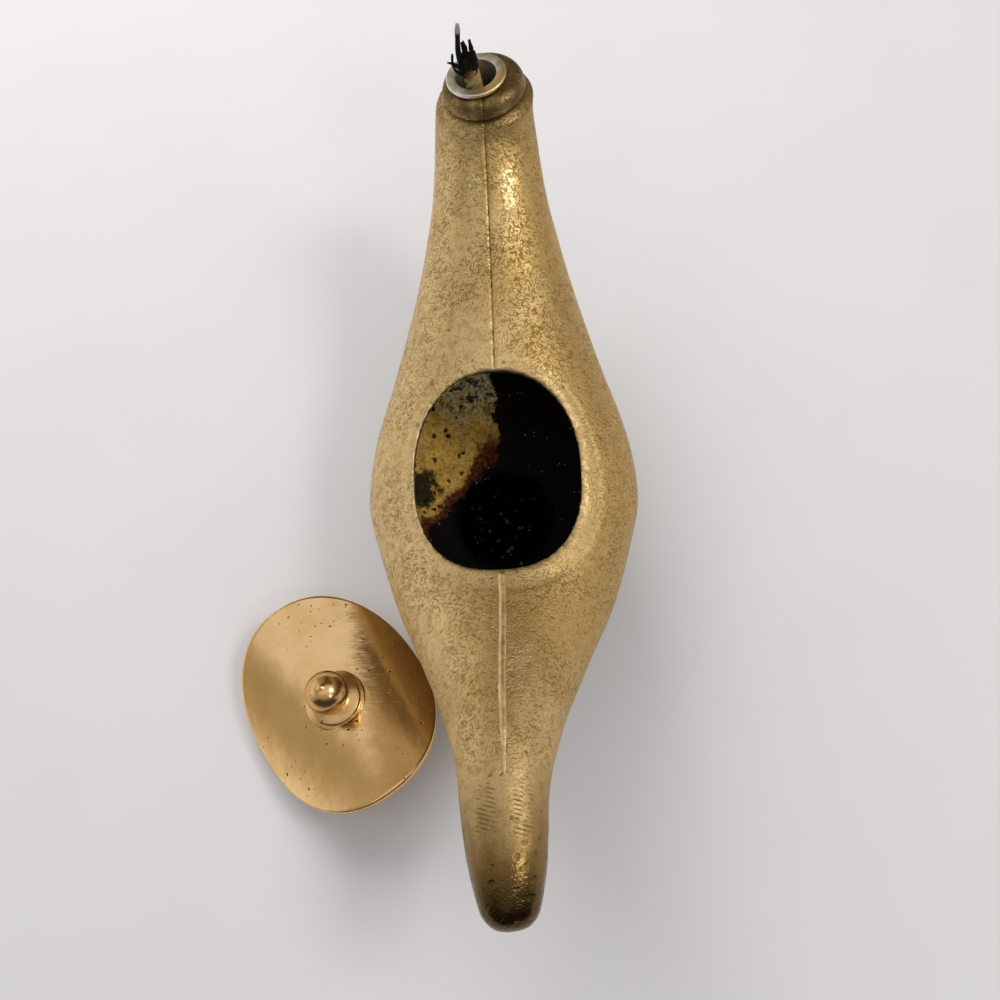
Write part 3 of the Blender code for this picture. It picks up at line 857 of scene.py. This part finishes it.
on_tail = ramp(tree, axes.outputs["Y"], -90.0, -74.0, 1.0, 0.0)
cuts = maths(tree, "MULTIPLY", cuts, ramp(tree, on_tail, 0.0, 1.0, 1.0, 0.30))
cuts = maths(tree, "MULTIPLY", cuts, ramp(tree, off_seat, 0.0, 1.0, 0.70, 1.0))
cuts = maths(tree, "MAXIMUM", cuts, maths(tree, "MULTIPLY", pits, 0.8))
cuts = maths(tree, "MAXIMUM", cuts, maths(tree, "MULTIPLY", hatch, 0.8))
spots = maths(tree, "MULTIPLY", chisel_cuts(tree, place, facing, 3.2, 0.4, 1.3, 0.40),
              ramp(tree, axes.outputs["Y"], -100.0, -95.0, 0.7, 0.0))
cuts = maths(tree, "MAXIMUM", cuts, spots)

# Painted light: the base tone is lighter on the left side and darker on the right, and noise varies it at
# random.
toned = blend(tree, ramp(tree, maths(
    tree, "MULTIPLY_ADD", axes.outputs["X"], -0.012, noise(tree, place, 22.0, 3.0)), 0.3, 0.7),
              linear("#CAA96D"), linear("#E6C992"))
lip = add_node(tree, "Attribute", attribute_name="lip").outputs["Fac"]
sooty = maths(tree, "MULTIPLY", ramp(tree, axes.outputs["Z"], 82.0, 88.0),
              ramp(tree, noise(tree, place, 4.0), 0.35, 0.60, 0.55, 1.0))
underside = add_node(tree, "SeparateXYZ", {0: facing}).outputs["Z"]
# Painted highlight: two pale patches on the flanks of the spout stand in for lamp glints, and the roughness
# is lowered there too.
beside = maths(tree, "ADD", maths(tree, "ABSOLUTE", maths(
    tree, "ADD", axes.outputs["X"], -0.9)), -4.8)
along_spout = maths(tree, "MULTIPLY", maths(tree, "ADD", axes.outputs["Y"], -81.0), 0.42)
painted_spout_glint = maths(tree, "MULTIPLY",
               ramp(tree, reach_of(tree, beside, along_spout), 0.5, 3.6, 1.0, 0.0),
               ramp(tree, noise(tree, place, 1.3, 3.0), 0.42, 0.60))
painted_spout_glint = maths(tree, "MULTIPLY", painted_spout_glint, ramp(tree, axes.outputs["Z"], 55.0, 60.0))
aged = layered(tree, toned, (
    (ramp(tree, noise(tree, place, 2.6, 4.0), 0.42, 0.72, 0.0, 0.55), "#B7965A"),
    (ramp(tree, off_seat, 0.0, 1.0, 0.22, 0.0), "#EBD2A0"),                # bright lid seat
    (maths(tree, "MULTIPLY", lip, 0.5), "#F2DDB4"),                        # edge of the opening
    (ramp(tree, axes.outputs["Y"], -110.0, -72.0, 0.92, 0.0), "#765A32"),  # darker towards the tail
    (ramp(tree, axes.outputs["Y"], 88.0, 104.0, 0.0, 0.45), "#80663A"),    # warm end of the spout
    (sooty, "#74603E"),
    (ramp(tree, axes.outputs["Y"], -112.0, -104.0, 0.7, 0.0), "#4E4026"),  # tip of the tail, painted dark as a dark reflection
    # painted shade: skin that faces down is darkened
    (ramp(tree, underside, -0.35, 0.12, 0.7, 0.0), "#4E3A1A"),
    # painted highlight on the spout
    (maths(tree, "MULTIPLY", painted_spout_glint, 0.6), "#FFEDC0"),
    (maths(tree, "MULTIPLY", cuts, 0.62), "#6A4F1E"),
    (maths(tree, "MULTIPLY", grime, 0.85), "#4A3512"),
))
tree.links.new(aged, shader.inputs["Base Color"])

dull = ramp(tree, noise(tree, place, 3.0), 0.3, 0.7, 0.42, 0.54)
dull = maths(tree, "ADD", dull, maths(tree, "MULTIPLY", cuts, 0.15))
dull = maths(tree, "SUBTRACT", dull, ramp(tree, axes.outputs["Y"], -105.0, -95.0, 0.27, 0.0))
dull = maths(tree, "SUBTRACT", dull, maths(tree, "MULTIPLY", painted_spout_glint, 0.16))
tree.links.new(dull, shader.inputs["Roughness"])
grain = maths(tree, "MULTIPLY_ADD", noise(tree, place, 0.9, 3.0), 0.35,
              maths(tree, "MULTIPLY", cuts, -1.0))
set_relief(tree, shader, grain, 0.8, 0.16)

# %% [markdown]
# Old oil covers the inside. On the left wall the brass has corroded to a grainy orange and
# yellow crust with black and green spots, below it a reddish stain runs down, and the rest is
# under a glossy film that is almost black. On the right wall this near-black is partly oil and
# partly painted shade, so that the left wall looks lit. The crust is not bare metal any more,
# so it is not metallic, and a clear coat gives the wet shine.

# %% Material: oil-stained inside
oiled_inside, tree, shader = new_material("oil-stained inside", Roughness=0.6, Coat_Weight=0.07,
                                          Coat_Roughness=0.12)
shader.inputs["Specular IOR Level"].default_value = 0.12
place = place_in_mm(tree)
axes = add_node(tree, "SeparateXYZ", {0: place})
drift = maths(tree, "MULTIPLY_ADD", noise(tree, place, 6.0, 6.0, 0.65), 16.0, -8.0)
border = maths(tree, "MULTIPLY_ADD", maths(tree, "MINIMUM", maths(
    tree, "ADD", axes.outputs["Y"], -21.0), 0.0), 0.85, -2.5)
leftward = maths(tree, "ADD", maths(tree, "SUBTRACT", border, axes.outputs["X"]), drift)
grains = noise(tree, place, 0.9, 6.0, 0.75)
crust = blend(tree, ramp(tree, grains, 0.36, 0.62), linear("#DC9424"), linear("#FFDA74"))
greyed = blend(tree, ramp(tree, grains, 0.40, 0.60), linear("#B09C50"), linear("#FFF6C8"))
pale = blend(tree, ramp(tree, maths(tree, "MULTIPLY_ADD", noise(tree, place, 5.0, 5.0), 26.0,
                                    axes.outputs["Y"]), 42.0, 56.0), crust, greyed)
spots = add_node(tree, "TexVoronoi", {"Vector": place, "Scale": 0.30}).outputs["Distance"]
spots = maths(tree, "MULTIPLY_ADD", noise(tree, place, 1.6, 4.0), 0.9, spots)
damp_x = maths(tree, "ADD", axes.outputs["X"], 27.0)
damp_y = maths(tree, "ADD", axes.outputs["Y"], -9.0)
damp = maths(tree, "MULTIPLY_ADD", noise(tree, place, 4.0, 6.0, 0.7), 14.0,
             reach_of(tree, damp_x, damp_y))
mould = maths(tree, "MULTIPLY", ramp(tree, noise(tree, place, 3.4, 6.0, 0.7), 0.50, 0.57),
              ramp(tree, axes.outputs["Y"], 31.0, 39.0, 0.25, 0.9))
patchy = layered(tree, pale, (
    (ramp(tree, spots, 0.58, 0.74, 0.97, 0.0), "#14120A"),
    (ramp(tree, damp, 11.5, 14.0, 0.95, 0.0), "#10140B"),
    (mould, "#0C0E08"),
))
rust = blend(tree, ramp(tree, grains, 0.38, 0.66), linear("#2E1206"), linear("#9A5226"))
oil = blend(tree, ramp(tree, noise(tree, place, 12.0), 0.4, 0.7), linear("#040301"),
            linear("#140D05"))
near_border = maths(tree, "MULTIPLY", ramp(tree, leftward, 3.0, 6.0, 1.0, 0.0),
                    ramp(tree, axes.outputs["Y"], 23.0, 30.0, 1.0, 0.0))
lower = blend(tree, near_border, patchy, rust)
# Right of the border the wall takes the near-black oil colour, which is partly oil and partly painted shade.
shaded = blend(tree, ramp(tree, leftward, -0.6, 1.2), oil, lower)
deep = blend(tree, ramp(tree, maths(tree, "MULTIPLY_ADD", drift, 0.3, axes.outputs["Z"]),
                        13.5, 17.5), linear("#030302"), shaded)
facing = add_node(tree, "NewGeometry").outputs["Normal"]
glints = maths(tree, "MULTIPLY", chisel_cuts(tree, place, facing, 2.0, 0.10, 0.38, 0.14),
               ramp(tree, noise(tree, place, 6.0), 0.50, 0.56))
deep = blend(tree, glints, deep, linear("#AEB8B6"))
tree.links.new(deep, shader.inputs["Base Color"])
grainy = set_relief(tree, shader, noise(tree, place, 1.2, 6.0, 0.7), 1.0, 0.7)
tree.links.new(grainy, shader.inputs["Coat Normal"])

# %% Hand over the body
for half, name, node in ((left_half, "cast_body_left", "body_left_half"),
                         (right_half, "cast_body_right", "body_right_half")):
    hand_over(half, name, [aged_brass, oiled_inside], "lamp", [node])
    half.data.polygons.foreach_set("material_index", inner_faces(half).astype(int))
    half.data.update()

# %% Material: brazed seam bead
solder, tree, shader = new_material("brazed seam", Metallic=1.0)
place = place_in_mm(tree)
toned = blend(tree, ramp(tree, noise(tree, place, 2.4, 4.0), 0.35, 0.7), linear("#EED5A0"),
              linear("#D6BA84"))
tree.links.new(toned, shader.inputs["Base Color"])
tree.links.new(ramp(tree, noise(tree, place, 1.4), 0.3, 0.7, 0.36, 0.50),
               shader.inputs["Roughness"])
set_relief(tree, shader, noise(tree, place, 1.1), 0.5, 0.15)
hand_over(bead, "seam_bead", [solder], "lamp")

# %% [markdown]
# The lid is one thin oval casting bent like a saddle: its long sides hang down over the body and
# its ends rise. Its top is polished, so every facet would show. It starts as a round disc spun
# from a line of many points, with a small hole for the screw. A formula then stretches the
# circle into the oval and bends it, Solidify gives the wall and Bevel rounds the edge.

# %% Lid plate
LID_HALF_WIDTH, LID_HALF_LENGTH = 27.0, 35.2
LID_POWER = 2.24
LID_THICKNESS = 2.6
LID_SIDE_DROP, LID_END_RISE = 5.9, 4.2
LID_TURN = Matrix.Rotation(math.radians(34.3), 3, "Z") @ Matrix.Rotation(
    math.radians(-7.5), 3, "X")
LID_CENTRE = Vector((-53.6, -55.8, 10.3))


def saddle(places, half_width=LID_HALF_WIDTH, half_length=LID_HALF_LENGTH, power=LID_POWER):
    """Stretches a disc of radius 1 into an oval and bends it."""
    angle = np.arctan2(places[:, 1], places[:, 0])
    share = np.hypot(places[:, 0], places[:, 1])
    bent = places.copy()
    bent[:, 0] = np.sign(np.cos(angle)) * np.abs(np.cos(angle)) ** (2 / power) * share * half_width
    bent[:, 1] = np.sign(np.sin(angle)) * np.abs(np.sin(angle)) ** (2 / power) * share * half_length
    bent[:, 2] += (LID_END_RISE * (bent[:, 1] / LID_HALF_LENGTH) ** 2
                   - LID_SIDE_DROP * (bent[:, 0] / LID_HALF_WIDTH) ** 2)
    return bent


plate = turned_piece([(0.075 + 0.925 * step / 30, 0.0) for step in range(31)], 160)
move_points(plate, saddle(points_of(plate)))
apply_modifier(plate, "SOLIDIFY", thickness=LID_THICKNESS * MM, offset=-1.0)
apply_modifier(plate, "BEVEL", width=0.9 * MM, segments=4, limit_method="ANGLE",
               angle_limit=math.radians(45))
select_all_points(plate)
bpy.ops.mesh.normals_make_consistent(inside=False)
bpy.ops.object.mode_set(mode="OBJECT")
bpy.ops.object.shade_smooth_by_angle(angle=math.radians(50))
place_piece(plate, LID_TURN.to_euler(), LID_CENTRE * MM)
print("lid plate, mm:", [round(side / MM, 1) for side in plate.dimensions])

# %% [markdown]
# Under the plate an oval band keeps the lid from sliding. It is made as an open ring of the
# opening's shape, bent like the plate, drawn down and given its wall.

# %% Locating rim
RIM_HALF_WIDTH, RIM_HALF_LENGTH = 22.3, 27.3
RIM_TOP, RIM_DEPTH, RIM_WALL = 2.9, 2.6, 1.6

clear_selection()
bpy.ops.mesh.primitive_circle_add(vertices=128, radius=MM)
rim = bpy.context.object
move_points(rim, saddle(points_of(rim), RIM_HALF_WIDTH, RIM_HALF_LENGTH, OPENING_POWER)
            - np.array([0.0, 0.0, RIM_TOP]))
select_all_points(rim)
bpy.ops.mesh.extrude_region_move(TRANSFORM_OT_translate={"value": (0, 0, -RIM_DEPTH * MM)})
bpy.ops.mesh.select_all(action="SELECT")
bpy.ops.mesh.normals_make_consistent(inside=False)
bpy.ops.object.mode_set(mode="OBJECT")
apply_modifier(rim, "SOLIDIFY", thickness=RIM_WALL * MM, offset=-1.0)
apply_modifier(rim, "BEVEL", width=0.3 * MM, segments=2, limit_method="ANGLE",
               angle_limit=math.radians(50))
bpy.ops.object.shade_smooth_by_angle(angle=math.radians(40))
place_piece(rim, LID_TURN.to_euler(), LID_CENTRE * MM)

# %% [markdown]
# The knob is a ball on a narrow waist over a stepped collar, turned in one piece and drilled
# from below for its screw.

# %% Knob
BALL_RADIUS, BALL_HEIGHT = 6.5, 11.6
outline = [(0.0, BALL_HEIGHT + BALL_RADIUS + 0.5), (0.5, BALL_HEIGHT + BALL_RADIUS + 0.35)]
for step in range(1, 22):
    angle = math.radians(2.0 + 6.1 * step)
    outline.append((BALL_RADIUS * math.sin(angle), BALL_HEIGHT + BALL_RADIUS * math.cos(angle)))
outline += [(4.25, 6.3), (4.0, 5.7), (4.05, 5.2), (4.5, 4.75), (5.6, 4.4), (7.2, 4.1),
            (7.75, 3.85), (7.95, 3.4), (8.0, 2.95), (8.4, 2.72), (9.1, 2.6), (9.4, 2.35),
            (9.5, 1.9), (9.5, 1.0), (9.35, 0.6), (9.0, 0.4), (1.9, 0.4), (1.9, 8.6), (0.0, 9.0)]
knob = turned_piece(outline, 96)
place_piece(knob, LID_TURN.to_euler(), LID_CENTRE * MM)

# %% [markdown]
# The lid is the same brass, but polished: a clean yellow metal with a roughness near 0.15,
# and 0.2 on the knob.
# What makes it look real is what polishing could not take away, which is faint waves, small
# pinholes from casting, fine straight scratches and a few dull stains.

# %% Material: polished lid brass
def polished_brass(name, bright, shadow, rough, pinholes):
    material, tree, shader = new_material(name, Metallic=1.0)
    place = place_in_mm(tree)
    facing = add_node(tree, "NewGeometry").outputs["Normal"]
    clouds = noise(tree, place, 9.0, 4.0)
    toned = blend(tree, ramp(tree, clouds, 0.35, 0.75), linear(bright), linear(shadow))
    holes = chisel_cuts(tree, place, facing, 7.5, 0.35, 0.55, pinholes)
    specks = chisel_cuts(tree, place, facing, 3.2, 0.12, 0.30, pinholes * 0.9)
    holes = maths(tree, "MAXIMUM", holes, specks)
    holes = maths(tree, "MULTIPLY", holes, ramp(tree, noise(tree, place, 14.0), 0.42, 0.58))
    tree.links.new(blend(tree, holes, toned, linear("#5A3C12")), shader.inputs["Base Color"])
    scratch_place = add_node(tree, "VectorMath", {0: place, 1: (0.25, 2.6, 1.0)},
                             operation="MULTIPLY").outputs[0]
    scratches = noise(tree, scratch_place, 1.4, 2.0)
    dull = ramp(tree, clouds, 0.35, 0.7, rough, rough + 0.07)
    dull = maths(tree, "ADD", dull, ramp(tree, scratches, 0.62, 0.75, 0.0, 0.08))
    tree.links.new(dull, shader.inputs["Roughness"])
    waves = maths(tree, "MULTIPLY", noise(tree, place, 6.0, 2.0), 0.55)
    waves = maths(tree, "ADD", waves, maths(tree, "MULTIPLY", scratches, 0.06))
    waves = maths(tree, "SUBTRACT", waves, maths(tree, "MULTIPLY", holes, 0.5))
    set_relief(tree, shader, waves, 0.5, 0.4)
    return material


lid_brass = polished_brass("polished lid brass", "#EEC791", "#E2B97C", 0.14, 0.5)
knob_brass = polished_brass("polished knob brass", "#E4BC82", "#CFA468", 0.20, 0.3)
hand_over(plate, "lid_saddle_plate", [lid_brass], "lid", ["lid_plate"])
hand_over(rim, "lid_oval_rim", [lid_brass], "lid", ["lid_locating_rim"])
hand_over(knob, "lid_turned_knob", [knob_brass], "lid", ["lid_knob"])

# %% [markdown]
# Three CAD pieces have the right shape already and hardly show: the disc that closes the foot,
# the screw and its washer. They keep their meshes and only get a finish. The disc has a rough
# oily side that is seen down in the well.

# %% Materials: sheet brass and screw brass
sheet_brass, tree, shader = new_material("oily sheet brass", Metallic=1.0)
place = place_in_mm(tree)
axes = add_node(tree, "SeparateXYZ", {0: place})
worn = blend(tree, ramp(tree, noise(tree, place, 5.0, 4.0), 0.35, 0.65), linear("#8C6E3A"),
             linear("#B89A5E"))
specks = ramp(tree, noise(tree, place, 2.2, 3.0), 0.62, 0.70, 0.0, 0.8)
oily = blend(tree, specks, linear("#020202"), linear("#4A4840"))
on_top = ramp(tree, axes.outputs["Z"], 1.0, 1.4)
tree.links.new(blend(tree, on_top, worn, oily), shader.inputs["Base Color"])
tree.links.new(ramp(tree, noise(tree, place, 2.0), 0.3, 0.7, 0.32, 0.55),
               shader.inputs["Roughness"])
set_relief(tree, shader, noise(tree, place, 1.3, 4.0), 0.6, 0.3)

screw_brass = polished_brass("screw brass", "#D2AE70", "#B48F50", 0.30, 0.0)
for name, material in (("base_disc", sheet_brass), ("knob_screw", screw_brass),
                       ("knob_washer", screw_brass)):
    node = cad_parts[name]
    for slot in node.material_slots:
        slot.material = material
    print(name, "keeps its CAD mesh")

# %% [markdown]
# The lamp stands on pale paper under soft light. A polished metal shows its surroundings, so
# the world is not one flat tone. For reflections it is pale grey overhead, brownish to the left
# with a bright part low down, a duller grey over the tail, brown to dark brown beyond the
# spout, and nearly black low behind the tail. All other rays see an even grey world.

# %% Floor
clear_selection()
bpy.ops.mesh.primitive_plane_add(size=3.0)
floor = bpy.context.object
floor.name = "paper_floor"
paper, tree, shader = new_material("pale paper", Roughness=0.9)
shader.inputs["Specular IOR Level"].default_value = 0.2
place = place_in_mm(tree)
tree.links.new(blend(tree, noise(tree, place, 60.0, 4.0), linear("#E3DFDD"), linear("#E9E7E6")),
               shader.inputs["Base Color"])
floor.data.materials.append(paper)

# %% World
world = bpy.data.worlds.new("studio")
bpy.context.scene.world = world
world.use_nodes = True
tree = world.node_tree
axes = add_node(tree, "SeparateXYZ", {0: add_node(tree, "TexCoord").outputs["Generated"]})
to_left = ramp(tree, axes.outputs["X"], -0.58, -0.40, 1.0, 0.0)
low_left = maths(tree, "MULTIPLY", to_left, ramp(tree, axes.outputs["Z"], 0.40, 0.66, 1.0, 0.0))
to_right = ramp(tree, axes.outputs["X"], 0.30, 0.70)
far = maths(tree, "MULTIPLY", ramp(tree, axes.outputs["Y"], 0.47, 0.56),
            ramp(tree, axes.outputs["X"], -0.66, -0.50))
beyond = maths(tree, "MULTIPLY", far, ramp(tree, axes.outputs["X"], -0.22, -0.06))
over_tail = ramp(tree, axes.outputs["Y"], -0.45, -0.12, 1.0, 0.0)
behind = maths(tree, "MULTIPLY", ramp(tree, axes.outputs["Y"], -0.66, -0.46, 1.0, 0.0),
               ramp(tree, axes.outputs["Z"], 0.50, 0.90, 1.0, 0.0))
low_left = maths(tree, "MULTIPLY", low_left, ramp(tree, axes.outputs["Z"], -0.05, 0.30, 0.5, 1.0))
seen = (0.80, 0.80, 0.80, 1.0)
for share, colour in ((to_left, (0.42, 0.38, 0.27, 1.0)), (low_left, (0.95, 0.94, 0.92, 1.0)),
                      (to_right, (0.70, 0.68, 0.64, 1.0)), (over_tail, (0.46, 0.43, 0.38, 1.0)),
                      (far, (0.42, 0.35, 0.24, 1.0)), (beyond, (0.11, 0.066, 0.022, 1.0)),
                      (behind, (0.045, 0.038, 0.028, 1.0))):
    seen = blend(tree, share, seen, colour)
lighting = (0.46, 0.46, 0.47, 1.0)
glossy = add_node(tree, "LightPath").outputs["Is Glossy Ray"]
tree.links.new(blend(tree, glossy, lighting, seen), tree.nodes["Background"].inputs["Color"])
tree.nodes["Background"].inputs["Strength"].default_value = 1.0

# %% Lights
LIGHTS = {                # place in m, watts, size in m, seen in reflections
    "key_from_right": ((0.655, 0.047, 0.966), 2.3, 0.26, True),
    "fill_from_far_left": ((-0.32, 0.68, 0.55), 5.2, 0.65, False),
    "glint_over_tail": ((0.304, -0.344, 0.538), 0.22, 0.08, True),
}
aim = (cad_low + cad_high) / 2
for name, (place, power, size, reflected) in LIGHTS.items():
    clear_selection()
    bpy.ops.object.light_add(type="AREA", location=place)
    light = bpy.context.object
    light.name = name
    light.data.energy = power
    light.data.size = size
    light.visible_glossy = reflected
    light.rotation_euler = (aim - Vector(place)).to_track_quat("-Z", "Y").to_euler()
print("lights:", len(LIGHTS))
